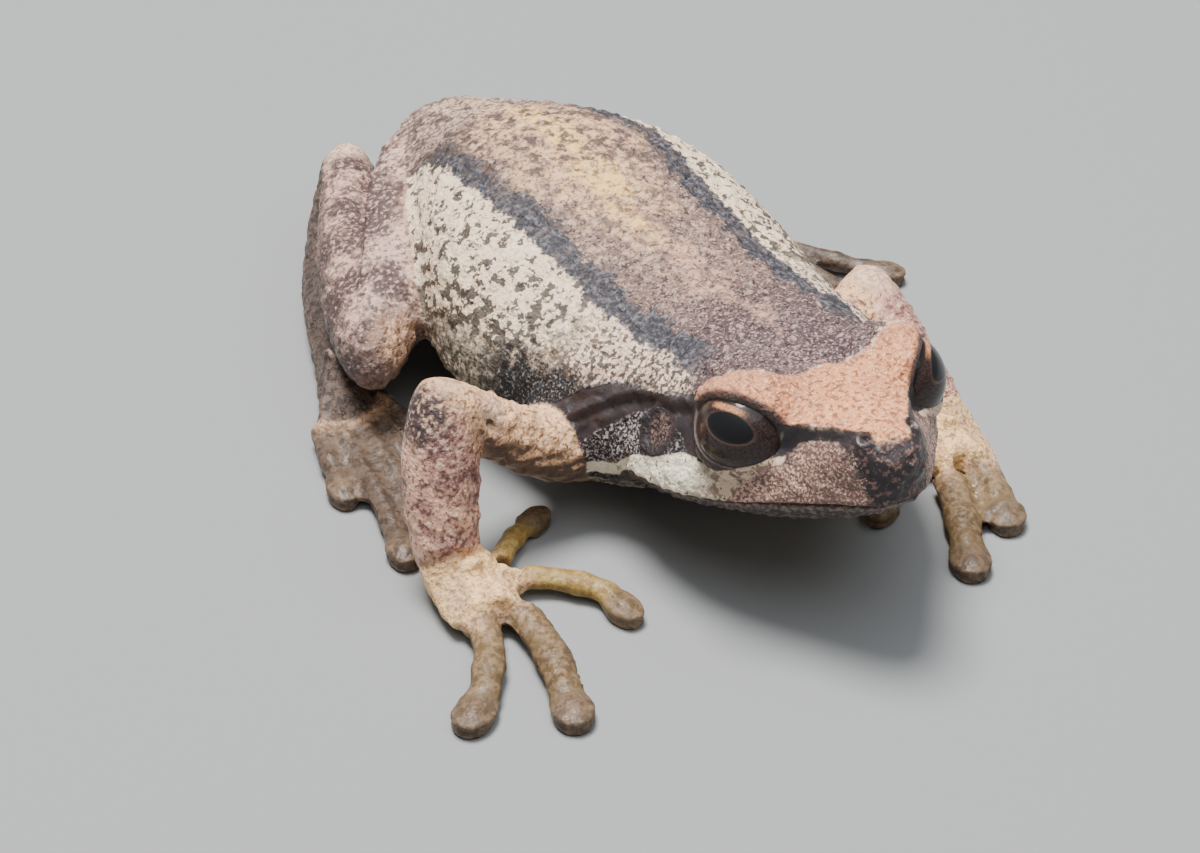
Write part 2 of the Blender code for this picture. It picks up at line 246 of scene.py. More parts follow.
# The facets of the solids are smoothed away: lightly on the digits, strongly on the body, and
# again where one part grows out of the next, at the neck, and on the hands and feet.
mesh = skin.data
parts = nearest_parts(points_of(mesh))
broad = on_parts(parts, "head", "jaw", "trunk", "thigh", "shank") + 0.6 * on_parts(parts, "arm")
add_group(skin, "broad", soften(mesh, np.clip(broad, 0, 1), 12))
kinds = np.unique(parts, return_inverse=True)[1].astype(float)
joint = np.abs(soften(mesh, kinds, 1) - kinds) > 1e-6
joint = soften(mesh, joint.astype(float), 8)
add_group(skin, "joints", np.clip(joint * 3, 0, 1))
finish_with(skin, "even", "SMOOTH", factor=0.5, iterations=6)
finish_with(skin, "even_body", "SMOOTH", factor=0.5, iterations=45, vertex_group="broad")
finish_with(skin, "blend_joints", "SMOOTH", factor=0.5, iterations=14, vertex_group="joints")
neck = bell(points_of(mesh)[:, 1] + 8.55, 2.2) * on_parts(parts, "head", "jaw", "trunk")
add_group(skin, "neck", neck)
finish_with(skin, "blend_neck", "SMOOTH", factor=0.5, iterations=120, vertex_group="neck")

hands = soften(mesh, on_parts(parts, "hand", "foot"), 12)
add_group(skin, "hands", np.clip(hands * 1.6, 0, 1))
finish_with(skin, "blend_hands", "SMOOTH", factor=0.5, iterations=40, vertex_group="hands")

# The head's own axes, and the way each eye looks.
NECK = Vector((1.68, -8.55, 6.0))
HEAD_TURN = Matrix.Rotation(math.radians(-2), 3, "Z")
EYEBALL = 2.3
EYE_SHIFT = Vector((0.22, 0.18, 0.0))
EYE_LOOK = Vector((0.83, -0.46, 0.31))
EYE_TILT = math.radians(16)
LID_MIDDLE = (0.04, 0.125)
LID_REACH = (1.12, 0.66, 0.72)


def head_way(vector, side):
    """A direction of the head's left side, turned with the head, or mirrored for side -1."""
    return HEAD_TURN @ Vector((side * vector[0], vector[1], vector[2]))


def head_place(points):
    """How far left of the head's middle, ahead of the neck, and above the floor."""
    across, ahead = np.array(head_way((1, 0, 0), 1)), np.array(head_way((0, -1, 0), 1))
    from_neck = points - np.array((*NECK.xy, 0))
    return from_neck @ across, from_neck @ ahead, points[:, 2]


def axes_round(out, side):
    """The forward and upward directions of an eye that looks out this way."""
    ahead = head_way((0, -1, 0), 1)
    ahead = (ahead - ahead.project(out)).normalized()
    up = out.cross(ahead) * side
    if up.z < 0:
        up = -up
    tilt = (math.cos(EYE_TILT), math.sin(EYE_TILT))
    return tilt[0] * ahead + tilt[1] * up, tilt[0] * up - tilt[1] * ahead


def eye_axes(word):
    """The eyeball's centre, and its forward, upward and outward directions."""
    side = 1 if word == "left" else -1
    low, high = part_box("eye_" + word)
    centre = (low + high) / 2 / MM + head_way(EYE_SHIFT, side)
    out = head_way(EYE_LOOK, side).normalized()
    return centre, *axes_round(out, side), out


def around_eye(points, word):
    """Distance from the eyeball's centre, and how far outside the lids' edge, along the ball."""
    centre, ahead, up, out = (np.array(v) for v in eye_axes(word))
    way = points - centre
    reach = np.linalg.norm(way, axis=1)
    way = way / reach[:, None]
    angle = np.arccos(np.clip(way @ out, -1, 1))
    flat = np.hypot(way @ ahead, way @ up) + 1e-9
    forward = angle * (way @ ahead) / flat - LID_MIDDLE[0]
    upward = angle * (way @ up) / flat - LID_MIDDLE[1]
    wide, above, below = LID_REACH
    tall = np.where(upward > 0, above, below)
    size = (np.abs(forward / wide) ** 2.2 + np.abs(upward / tall) ** 2.2) ** (1 / 2.2) + 1e-9
    return reach, EYEBALL * np.hypot(forward, upward) * (1 - 1 / size), forward, upward


def along(values, *stations):
    """A width or height that changes evenly from station to station."""
    places, sizes = zip(*stations)
    return np.interp(values, places, sizes)


def lip_gap(points):
    """Height above the line where the lips meet, and how far ahead of the mouth's corner."""
    across, ahead, height = head_place(points)
    lips = along(
        ahead, (0, 4.7), (1.8, 4.95), (2.9, 5.1), (4.2, 5.4), (5.8, 5.9), (8.1, 6.7), (9.6, 7.35),
        (11.2, 8.0), (12.1, 8.35), (13.0, 8.6), (13.8, 8.75)
    )
    return height - lips, ahead - 1.8


NOSTRIL = (1.12, 12.1, 11.42)


def nostril_distance(points):
    across, ahead, height = head_place(points)
    return np.sqrt((abs(across) - NOSTRIL[0]) ** 2 + (ahead - NOSTRIL[1]) ** 2 + (height - NOSTRIL[2]) ** 2)


def ridge_side(points):
    """How far a point of the head lies down the side from the sharp ridge over eye and nostril."""
    across, ahead, height = head_place(points)
    ridge = along(
        ahead, (6.0, 5.5), (6.7, 5.2), (7.9, 4.35), (8.7, 3.55), (9.4, 2.75), (11, 1.8), (12.2, 0.95),
        (13.6, 0.8)
    )
    top = along(ahead, (-4, 7.2), (-1.2, 7.9), (0.7, 8.5), (2.4, 9.05), (3.6, 9.6), (5.0, 10.4), (6.7, 11.3))
    front = (11.5 - height) - 9 * (ahead < 11.5)
    return np.where(ahead > 5.8, np.maximum(abs(across) - ridge, front), top - height)


EAR = (2.95, 7.65, 1.05)


def ear_distance(points):
    across, ahead, height = head_place(points)
    return np.hypot(ahead - EAR[0], height - EAR[1]) + 9 * (abs(across) < 4)


# Finer mesh where the lids, lips and nostrils are worked.
points = points_of(mesh)
fine = nostril_distance(points) < 0.9
for word in ("left", "right"):
    reach, outside, _, _ = around_eye(points, word)
    fine |= (reach < 3.6) & (abs(outside + 0.1) < 0.7)
above_lips, past_corner = lip_gap(points)
on_head = on_parts(nearest_parts(points), "head", "jaw") > 0
fine |= on_head & (abs(above_lips) < 0.35) & (past_corner > -0.5)
bpy.ops.object.select_all(action="DESELECT")
skin.select_set(True)
bpy.context.view_layer.objects.active = skin
bpy.ops.object.mode_set(mode="EDIT")
bpy.ops.mesh.select_mode(type="VERT")
bpy.ops.mesh.select_all(action="DESELECT")
bpy.ops.object.mode_set(mode="OBJECT")
mesh.vertices.foreach_set("select", fine)
bpy.ops.object.mode_set(mode="EDIT")
bpy.ops.mesh.select_mode(type="VERT")
bpy.ops.mesh.subdivide(number_cuts=1, smoothness=0)
bpy.ops.object.mode_set(mode="OBJECT")

# Eyelids: the skin dips under the ball inside the lids' edge, and rises over it outside.
points = points_of(mesh)
for word in ("left", "right"):
    centre = np.array(eye_axes(word)[0])
    reach, outside, forward, upward = around_eye(points, word)
    near = (reach < 4.2) & (outside < 2.0)
    lid = 0.20 + 0.20 * smooth_step(-0.2, 0.5, upward)
    rim = np.where(
        outside < 0, 1.6 * outside, lid * np.sqrt(np.clip(outside / 0.45, 0, 1)) + 0.02
    )
    rim = EYEBALL + np.clip(rim, -0.35, 1)
    keep = smooth_step(0.35, 1.3, outside)
    keep = np.maximum(keep, smooth_step(2.75, 3.4, reach) * smooth_step(0.0, 0.5, outside))
    target = rim * (1 - keep) + np.maximum(reach, EYEBALL + lid) * keep
    way = (points - centre) / reach[:, None]
    points = np.where(near[:, None], centre + way * target[:, None], points)
move_points(mesh, points)

# Lips: a groove between them, with the upper lip a little full over the lower one.
points = points_of(mesh)
normals = normals_of(mesh)
parts = nearest_parts(points)
across, ahead, height = head_place(points)
above_lips, past_corner = lip_gap(points)
on_head = soften(mesh, on_parts(parts, "head", "jaw"), 4)
LIP_FULLNESS = 0.08
LIP_GROOVE = 0.20
UNDER_LIP = 0.05
lips = on_head * smooth_step(-0.6, 0.6, past_corner)
push = lips * (LIP_FULLNESS * bell(above_lips - 0.26, 0.2) - LIP_GROOVE * bell(above_lips, 0.09))
push -= lips * UNDER_LIP * bell(above_lips + 0.28, 0.2)

# Nostrils: a small pit in a raised ring, at the end of each snout ridge.
NOSTRIL_RING = 0.12
NOSTRIL_DEPTH = 0.36
hole = nostril_distance(points)
push += NOSTRIL_RING * bell(hole - 0.36, 0.13) - NOSTRIL_DEPTH * bell(hole, 0.2)

# The snout ridge, from each eye to the nostril, with the cheek hollow under it.
RIDGE_HEIGHT = 0.10
CHEEK_HOLLOW = 0.14
down_side = ridge_side(points)
ridge = on_head * smooth_step(6.2, 7.2, ahead) * smooth_step(12.4, 11.2, ahead) * (height > 8.5)
along_ridge = RIDGE_HEIGHT * bell(down_side + 0.12, 0.24) - CHEEK_HOLLOW * bell(down_side - 0.45, 0.32)
push += ridge * along_ridge

# The fold of skin from the eye over the ear to the shoulder, and the round eardrum below it.
fold_height = along(
    ahead, (-2.4, 5.4), (-1.5, 6.4), (-0.6, 7.3), (-0.15, 7.8), (0.7, 8.35), (1.5, 8.7), (2.4, 8.95),
    (3.35, 9.25), (4.6, 9.75)
)
trunk = soften(mesh, on_parts(parts, "head", "jaw", "trunk"), 3)
FOLD_HEIGHT = 0.17
FOLD_HOLLOW = 0.12
above_fold = height - fold_height
fold = trunk * smooth_step(-2.6, -1.2, ahead) * smooth_step(5.0, 4.2, ahead)
fold *= smooth_step(3.8, 4.6, abs(across))
push += fold * (FOLD_HEIGHT * bell(above_fold + 0.05, 0.26) - FOLD_HOLLOW * bell(above_fold + 0.6, 0.28))
EAR_RING = 0.08
EAR_HOLLOW = 0.07
from_ear = ear_distance(points)
in_ear = smooth_step(0.85, 0.5, from_ear)
push += trunk * (EAR_RING * bell(from_ear - EAR[2], 0.13) - EAR_HOLLOW * in_ear)

# Creases where the skin folds, each with its depth and the corners of its line.
CREASES = {
    "right wrist": (0.12, (-15.9, -8.9, 2.3), (-15.0, -9.6, 3.0), (-14.0, -9.9, 2.9), (-12.9, -9.4, 2.2)),
    "left wrist": (0.12, (13.3, -10.0, 1.9), (12.4, -10.5, 3.0), (11.3, -10.5, 3.0), (10.5, -10.0, 2.0)),
    "right elbow": (0.32, (-10.9, -7.2, 6.9), (-11.3, -7.3, 7.7), (-11.9, -6.9, 8.7)),
    "left elbow": (0.30, (9.9, -3.6, 5.6), (10.5, -3.6, 5.9)),
    "right mouth corner": (0.2, (-5.7, -10.0, 5.5), (-5.4, -9.6, 4.6)),
    "left mouth corner": (0.2, (8.8, -9.7, 5.5), (8.5, -9.3, 4.6)),
    "vent": (0.2, (-1.1, 20.6, 7.4), (-1.1, 21.2, 6.4)),
}


def distance_to_line(points, corners):
    """How far each point is from a line through these corners."""
    nearest = np.full(len(points), np.inf)
    for start, end in zip(corners, corners[1:]):
        start, step = np.array(start), np.array(end) - np.array(start)
        share = np.clip((points - start) @ step / (step @ step), 0, 1)
        nearest = np.minimum(nearest, np.linalg.norm(points - start - share[:, None] * step, axis=1))
    return nearest


for depth, *corners in CREASES.values():
    off_line = distance_to_line(points, corners)
    push += 0.3 * depth * bell(off_line - 0.42, 0.2) - depth * bell(off_line, 0.2)

# The soft belly sags a little between elbow and knee.
backbone_off = abs(points[:, 0] - NECK.x)
on_trunk = soften(mesh, on_parts(parts, "trunk"), 6)
BELLY_SAG = 0.3
sag = BELLY_SAG * on_trunk * bell(points[:, 1] - 2.5, 3.2) * bell(height - 4.6, 1.7)
push += sag * smooth_step(5.5, 7.5, backbone_off)

# Hands and feet: a tendon runs to each digit, whose knuckles swell, and its tip is a flat disc
# with a groove round its edge.
digits = [name for name in flesh if "finger" in name or "toe" in name]
digit_lines = {}
for name in digits:
    low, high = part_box(name.rsplit("_", 2)[0] + ("_hand" if "finger" in name else "_foot"))
    palm = np.array((low + high) / 2 / MM)
    corners = points_of(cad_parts[name].data)
    reach = np.linalg.norm(corners[:, :2] - palm[:2], axis=1)
    root = corners[reach < reach.min() + 0.5].mean(axis=0)
    digit_lines[name] = palm, root, corners[np.argmax(reach)]
FAR = 9.0
TENDON_HEIGHT = 0.20
WEB_HOLLOW = 0.12
KNUCKLE_HEIGHT = 0.06
WAIST_DEPTH = 0.03
DIGIT_SIDE = 0.09
DISC_EDGE = 0.12
level_top = smooth_step(0.2, 0.8, normals[:, 2])
on_hand = soften(mesh, on_parts(parts, "hand", "foot"), 3)
off_tendons = np.full(len(points), FAR)
for name, (palm, root, tip) in digit_lines.items():
    tendon = distance_to_line(points[:, :2], (palm[:2], root[:2]))
    off_tendons = np.minimum(off_tendons, tendon)
    push += on_hand * level_top * TENDON_HEIGHT * bell(tendon, 0.32)
    on_digit = soften(mesh, (parts == name).astype(float), 2)
    share = (points - root) @ (tip - root) / ((tip - root) @ (tip - root))
    knuckles = bell(share - 0.03, 0.07) + bell(share - 0.42, 0.06) + bell(share - 0.68, 0.05)
    push += on_digit * (
        KNUCKLE_HEIGHT * knuckles
        - WAIST_DEPTH * bell(share - 0.24, 0.08)
        - WAIST_DEPTH * bell(share - 0.56, 0.05)
    )
    push += on_digit * DIGIT_SIDE * smooth_step(0.8, 0.3, abs(normals[:, 2]))
    from_tip = np.linalg.norm(points[:, :2] - tip[:2], axis=1)
    disc_side = on_digit * smooth_step(2.0, 1.4, from_tip) * smooth_step(0.75, 0.35, abs(normals[:, 2]))
    push += disc_side * (DISC_EDGE - DISC_EDGE * bell(points[:, 2] - 0.42, 0.11))
push -= WEB_HOLLOW * on_hand * level_top * smooth_step(0.3, 0.6, off_tendons)

# Shallow wrinkles and lumps over the whole skin.
calm = smooth_step(0.6, 1.1, from_ear) * smooth_step(0.5, 1.0, hole)
calm *= 1 - lips * bell(above_lips, 0.5)
for word in ("left", "right"):
    calm *= smooth_step(0.25, 0.7, around_eye(points, word)[1])
bare = calm * (1 - 0.7 * soften(mesh, on_parts(parts, "finger", "toe"), 2))
lumps = np.array([noise.noise(Vector(point) / 0.62) for point in points])
wrinkles = np.array([noise.noise(Vector(point) / 0.95 + Vector((7, 3, 5))) for point in points])
LUMP_HEIGHT = 0.09
WRINKLE_DEPTH = 0.075
push += bare * (LUMP_HEIGHT * lumps - WRINKLE_DEPTH * bell(wrinkles, 0.09))

# Warts: low round bumps over the back, flanks and legs, and close-set granules underneath.
WART_HEIGHT = 0.13
WART_GAP = 0.7
GRANULE_HEIGHT = 0.07
GRANULE_GAP = 0.5
STEPS = (-1, 0, 1)
picks = np.random.default_rng(11)


def scatter(points, share, gap):
    """Some of the points, at least this far apart, and more of them where the share is high."""
    cells, taken = {}, []
    order = picks.permutation(len(points))
    for index in order[picks.random(len(points)) < share[order]]:
        x, y, z = (points[index] // gap).astype(int)
        around = [(x + a, y + b, z + c) for a in STEPS for b in STEPS for c in STEPS]
        near = [other for cell in around for other in cells.get(cell, ())]
        if not near or np.min(np.sum((points[near] - points[index]) ** 2, axis=1)) > gap * gap:
            cells.setdefault((x, y, z), []).append(index)
            taken.append(index)
    return points[taken]


def nearest_of(places, points):
    """For each point, how far the nearest of the places is, and which one it is."""
    tree = KDTree(len(places))
    for index, place in enumerate(places):
        tree.insert(place, index)
    tree.balance()
    found = [tree.find(point) for point in points]
    return np.array([hit[2] for hit in found]), np.array([hit[1] for hit in found])


rough = on_parts(parts, "trunk") * 0.4 + on_parts(parts, "thigh", "shank") * 0.25
rough += on_parts(parts, "head", "arm") * 0.12
on_flank = smooth_step(4.4, 5.6, backbone_off)
rough += on_parts(parts, "trunk") * 0.35 * on_flank * smooth_step(-5, 3, points[:, 1])
warts = scatter(points, calm * rough * smooth_step(-0.3, 0.3, normals[:, 2]), WART_GAP)
wart_size = picks.uniform(0.4, 1.0, len(warts))
from_wart, which = nearest_of(warts, points)
push += calm * WART_HEIGHT * wart_size[which] * bell(from_wart, 0.24 * wart_size[which] + 0.03)
low_skin = smooth_step(0.35, -0.35, normals[:, 2]) * on_parts(parts, "trunk", "thigh", "jaw")
granules = scatter(points, calm * low_skin, GRANULE_GAP)
from_granule, _ = nearest_of(granules, points)
push += GRANULE_HEIGHT * soften(mesh, low_skin, 3) * smooth_step(0.30, 0.05, from_granule)

points += normals * push[:, None]
points[:, 2] = np.maximum(points[:, 2], 0)
move_points(mesh, points)

MOST_TRIANGLES = 195000
triangles = 2 * len(mesh.polygons)
finish_with(skin, "thin", "DECIMATE", ratio=min(1, MOST_TRIANGLES / triangles))
mesh.shade_smooth()

# ---------------------------------------------------------------------------------------------
# Skin, its markings.
# Pigment in the living skin, and the places where shade or light is painted on it. Most
# markings are kept on the surface as how far inside its edge a point lies, in millimetres, for
# the finish to fray. The rest are shares from 0 to 1, such as which part of the body a point is on.
# ---------------------------------------------------------------------------------------------
points = points_of(mesh)
normals = normals_of(mesh)
parts = nearest_parts(points)


def body_place(points):
    """How far left of the backbone, behind the neck, and above the floor."""
    behind = points[:, 1] - NECK.y
    backbone = NECK.x + np.where(behind < 0, 0.035 * behind, -0.107 * behind)
    return points[:, 0] - backbone, behind, points[:, 2]


across, behind, height = body_place(points)
out = abs(across)

# Dark patch over the back, from between the eyes to the rump.
patch_width = along(
    behind, (-5, 5.2), (-3.4, 5.1), (-2.5, 4.6), (1.4, 4.75), (7.5, 4.95), (12.9, 5.25), (14.4, 5.4),
    (16.2, 5.2), (18.4, 4.75), (20.3, 4.9), (22, 8.5)
)
patch_front = along(out, (0, -6.4), (2.4, -6.8), (3.9, -5.8), (4.4, -5.3), (5.0, -4.4), (6, -3))
patch = np.minimum(patch_width - out, behind - patch_front)
patch = np.where(height > 5, patch, -3)
tan = along(behind, (-1, 0), (1, 0.5), (5, 1.0), (8, 1.6), (10, 2.9), (14, 3.6), (18.5, 3.4), (21, 1.5)) - out
gold_width = along(behind, (6, -0.6), (8, 0.5), (11, 0.9), (17, 1.1), (20, 0.3))
gold = gold_width - abs(across - 0.06 * (behind - 12))

# The cream band on each side, and how far a point lies below it on the flank.
band_low = along(
    behind, (-4, 9.4), (-2.4, 9.05), (-0.7, 8.6), (0.6, 8.1), (1.7, 7.75), (4, 7.75), (6.5, 7.75),
    (8.2, 7.6), (10, 7.1), (13, 6.4), (18, 6.2), (26, 4.5)
)
flank = band_low - height

# Head: peach over the snout and lids, and a dark line through nostril, eye and ear.
across, snout, height = head_place(points)
lips_above, _ = lip_gap(points)
on_side = ridge_side(points)
line_low = along(
    snout, (-3, 4.0), (-1.3, 4.3), (-0.8, 4.9), (-0.15, 6.0), (0.35, 6.6), (0.95, 7.3), (1.6, 7.9),
    (2.2, 8.35), (3.4, 8.45), (5.2, 7.6), (6.3, 7.85), (7.9, 8.6), (8.6, 9.0), (9.3, 9.55), (9.6, 10.2),
    (10.15, 10.6), (11.2, 11.0), (11.7, 10.98), (12.3, 10.8), (12.75, 10.2), (13.1, 9.6), (13.3, 8.7)
)
line = np.minimum(on_side, height - line_low) - along(snout, (-6, 4.5), (-3, 1.6), (-1.6, 0.35), (-0.6, 0))
nostril = nostril_distance(points)
line = np.maximum(line, 0.45 - nostril)
peach = np.minimum(-on_side, snout + patch_front)
ear = EAR[2] - 0.05 - ear_distance(points)

# Cream streak below the eye, the speckled cheek ahead of it, and the dark front of the snout.
streak_top = along(
    snout, (-1.5, 3.2), (-1.0, 3.8), (-0.15, 4.3), (0.4, 4.4), (1.0, 4.75), (1.35, 5.2), (2.4, 6.1),
    (3.5, 6.6), (4.3, 7.25), (4.9, 7.58), (5.9, 7.8), (6.8, 7.95), (7.6, 8.3), (8.4, 8.85), (9.4, 9.6)
)
streak_low = along(
    snout, (-1.5, 3.2), (-0.15, 3.5), (0.4, 3.45), (0.9, 4.1), (1.4, 4.6), (2.0, 4.95), (7.9, 6.6),
    (8.5, 8.0), (9.4, 9.3)
)
streak_low = np.where((snout > 2) & (snout < 7.9), height - lips_above + 0.03, streak_low)
streak = np.minimum(np.minimum(streak_top - height, height - streak_low), 9.5 - snout)
temple = np.minimum(np.minimum(on_side, height - streak_top + 0.3), np.minimum(4.4 - snout, snout + 0.9))
face_edge = along(height, (7.0, 0.9), (8.9, 1.2), (10.0, 1.7), (10.9, 1.85), (11.3, 2.0))
face = np.minimum(face_edge - abs(across), snout - 10.6)
cheek = np.minimum(np.minimum(line_low - height, lips_above + 0.05), snout - 6.0)
cheek = np.minimum(cheek, abs(across) - face_edge + 6 * smooth_step(10.8, 9.6, snout))
# rim: how far from the lower lid's edge, where a highlight on the wet edge is painted.
rim = np.full(len(points), FAR)
# lid: how far outside the upper lid's edge, where the brow's shadow is painted.
lid = rim.copy()
for word in ("left", "right"):
    eye_reach, outside, _, upward = around_eye(points, word)
    rim = np.where((eye_reach < 3.4) & (upward < 0.25), np.minimum(rim, abs(outside - 0.02)), rim)
    lid = np.where((eye_reach < 3.2) & (upward > 0.1), np.minimum(lid, outside), lid)
    by_lid = (eye_reach < 3.3) & (upward < 0.3) & (outside < 0.55)
    line = np.where(by_lid, np.maximum(line, 0.34 - outside), line)

whole_head = soften(mesh, on_parts(parts, "head", "jaw"), 3)
jaw_part = whole_head * smooth_step(0.05, -0.05, lips_above)
head_part = whole_head - jaw_part
limb_part = soften(mesh, 1 - on_parts(parts, "head", "jaw", "trunk"), 5)
under = smooth_step(-0.35, -0.85, normals[:, 2])
under = np.where(jaw_part + head_part > 0.5, smooth_step(-0.7, -0.97, normals[:, 2]), under)
top = smooth_step(0.35, 0.95, normals[:, 2])

disc = np.zeros(len(points))
off_tendons = np.full(len(points), FAR)
for name, (palm, root, tip) in digit_lines.items():
    tendon = distance_to_line(points[:, :2], (palm[:2], root[:2]))
    off_tendons = np.minimum(off_tendons, tendon)
    from_tip = np.linalg.norm(points - tip, axis=1)
    disc = np.maximum(disc, smooth_step(2.3, 1.5, from_tip) * (parts == name))


def spot(place, radius):
    """1 at this place, falling off over this radius in millimetres."""
    return bell(np.linalg.norm(points - np.array(place), axis=1), radius)


dusk = spot((-14.5, -6.6, 9.0), 1.8) + spot((13.2, -3.0, 4.8), 1.5)
pale = 0.6 * spot((-12.9, -6.5, 9.9), 0.9) + spot((-10.9, -6.9, 8.1), 1.0) + spot((12.2, -3.2, 5.4), 1.8)
pale += spot((-5.6, 21.0, 4.8), 1.8) + spot((1.9, 21.2, 3.4), 1.6)
rust = spot((-10.6, 3.4, 5.4), 1.7) + spot((10.0, 5.4, 4.6), 1.9)
from_wart, which = nearest_of(warts, points)
from_wart = from_wart / wart_size[which]

# Downward-facing skin, where shade is painted under the upper arms.
low_side = smooth_step(0.40, -0.30, normals[:, 2])
from_lips = np.where(jaw_part + head_part > 0.5, lips_above, FAR)

markings = {
    "patch": patch, "tan": tan, "gold": gold, "flank": flank, "line": line, "peach": peach, "ear": ear,
    "face": face, "streak": streak, "cheek": cheek, "temple": temple, "head": head_part, "jaw": jaw_part,
    "limb": limb_part, "under": under, "top": top, "side": low_side, "disc": disc, "pale": pale,
    "dusk": dusk, "rust": rust, "snout": snout, "wart": from_wart, "rim": rim, "lid": lid,
    "web": off_tendons, "nostril": nostril, "lips": from_lips,
}
# Each kind of part, and how many rounds its edge is spread over the next part.
KINDS = {
    "leg": (5, "thigh", "shank", "tarsus", "foot"), "shank": (5, "shank", "tarsus"),
    "foot": (6, "foot", "tarsus"), "forearm": (6, "forearm"), "hand": (16, "hand"),
    "inner": (8, "finger_1", "finger_2"), "toe": (8, "toe"), "digit": (30, "finger", "toe"),
}
for name, (rounds, *words) in KINDS.items():
    markings[name] = soften(mesh, on_parts(parts, *words), rounds)
for name, values in markings.items():
    layer = mesh.attributes.new(name, "FLOAT", "POINT")
    layer.data.foreach_set("value", np.clip(values, -30, 30).astype(np.float32))

# ---------------------------------------------------------------------------------------------
# Skin, its finish.
# Moist granular skin: fine and coarse pebbles, lower on the digits and the dark line, with the
# pigments of the markings laid one over the next. Over them lies painted shade, under the brow,
# under the upper arms, on the legs' sides and between the tendons and the belly's granules, and
# painted light, on the digits' tops, the granules' tops and the lower lids' edges.
# ---------------------------------------------------------------------------------------------
finish = bpy.data.materials.new("frog_skin")
finish.use_nodes = True
tree = finish.node_tree
shader = tree.nodes["Principled BSDF"]
place = tree.nodes.new("ShaderNodeTexCoord").outputs["Object"]


def feed(socket, value):
    """Joins the socket to another node's result, or sets it to a plain value."""
    if isinstance(value, bpy.types.NodeSocket):
        tree.links.new(value, socket)
    else:
        socket.default_value = value


def math_node(operation, *values):
    node = tree.nodes.new("ShaderNodeMath")
    node.operation = operation
    for socket, value in zip(node.inputs, values):
        feed(socket, value)
    return node.outputs[0]


def ramp(value, start, end, low=0.0, high=1.0):
    """Rises smoothly from low to high as the value goes from start to end."""
    node = tree.nodes.new("ShaderNodeMapRange")
    node.interpolation_type = "SMOOTHSTEP"
    for name, given in (
        ("Value", value), ("From Min", start), ("From Max", end), ("To Min", low), ("To Max", high)
    ):
        feed(node.inputs[name], given)
    return node.outputs["Result"]


def blotches(size, detail=3.0, roughness=0.55):
    """Irregular spots of about this size, in millimetres."""
    node = tree.nodes.new("ShaderNodeTexNoise")
    feed(node.inputs["Vector"], place)
    node.inputs["Scale"].default_value = 1 / (size * MM)
    node.inputs["Detail"].default_value = detail
    node.inputs["Roughness"].default_value = roughness
    return node.outputs["Fac"]


def pebbles(size):
    """How far out from the middle of the nearest of many grains, of this size in millimetres."""
    node = tree.nodes.new("ShaderNodeTexVoronoi")
    feed(node.inputs["Vector"], place)
    node.inputs["Scale"].default_value = 1 / (size * MM)
    return node.outputs["Distance"]


def marking(name):
    """A value that was kept on the surface under this name."""
    node = tree.nodes.new("ShaderNodeAttribute")
    node.attribute_name = name
    return node.outputs["Fac"]


def mixed(share, under_colour, over_colour):
    """The second colour laid over the first, as thickly as the share says."""
    node = tree.nodes.new("ShaderNodeMix")
    node.data_type = "RGBA"
    feed(node.inputs[0], share)
    for socket, colour in ((node.inputs[6], under_colour), (node.inputs[7], over_colour)):
        feed(socket, colour if isinstance(colour, bpy.types.NodeSocket) else (*colour, 1))
    return node.outputs[2]


def mottled(pattern, start, end, low_colour, high_colour):
    """One colour where a pattern is near start, and the other where it is near end."""
    return mixed(ramp(pattern, start, end), low_colour, high_colour)


def times(*values):
    """The values multiplied together."""
    product = values[0]
    for value in values[1:]:
        product = math_node("MULTIPLY", product, value)
    return product


fray = blotches(0.9, 4, 0.7)
fine_fray = blotches(0.35, 2, 0.6)
grains = pebbles(0.24)
coarse_grains = pebbles(0.6)
speckle = blotches(0.26, 3, 0.6)
fine_speckle = blotches(0.14, 2, 0.6)
spots = blotches(0.75, 3, 0.6)
clouds = blotches(2.4, 3, 0.6)
lit_grain_tops = ramp(grains, 0.55, 0.12)
wart = marking("wart")


def swing(pattern, amount):
    """A pattern's rise and fall about its middle, over this many millimetres."""
    return times(math_node("SUBTRACT", pattern, 0.5), amount)


def waved(name, amount, pattern=fray):
    """A marking's depth with its edge frayed by this many millimetres."""
    return math_node("ADD", marking(name), swing(pattern, amount * 2))


def inside(name, soft=0.12, ragged=0.7):
    """Where a marking is, with its edge frayed by this many millimetres."""
    return ramp(math_node("ADD", waved(name, ragged), swing(fine_fray, ragged)), -soft, soft)


# Flank and cream band: cream with dark flecks, fine by the shoulder and coarse toward the rump,
# where they ring the warts. Below the band it is olive brown, and nearly black by the shoulder.
rear = ramp(marking("snout"), -1.0, -9.0)
colour = mottled(clouds, 0.35, 0.65, (1.0, 0.77, 0.54), (0.92, 0.66, 0.46))
colour = mixed(ramp(rear, 0.5, 0.0, 0.0, 0.8), colour, (0.66, 0.44, 0.35))
colour = mixed(ramp(fine_speckle, 0.46, 0.60, 0.0, 0.7), colour, (1.0, 0.87, 0.67))
fleck_level = ramp(marking("flank"), -3.0, 1.0, 0.565, 0.45)
flecks = ramp(math_node("SUBTRACT", speckle, fleck_level), -0.015, 0.03)
colour = mixed(times(flecks, ramp(rear, 0.0, 0.8, 0.92, 0.18)), colour, (0.06, 0.045, 0.04))
wart_ring = times(
    ramp(wart, 0.20, 0.28), ramp(wart, 0.50, 0.38), ramp(fine_fray, 0.42, 0.54), ramp(fray, 0.46, 0.54)
)
colour = mixed(times(wart_ring, ramp(rear, 0.1, 0.5), 0.92), colour, (0.05, 0.04, 0.038))
big_level = math_node("ADD", fleck_level, 0.005)
big_flecks = ramp(math_node("SUBTRACT", blotches(0.62, 3, 0.6), big_level), -0.006, 0.014)
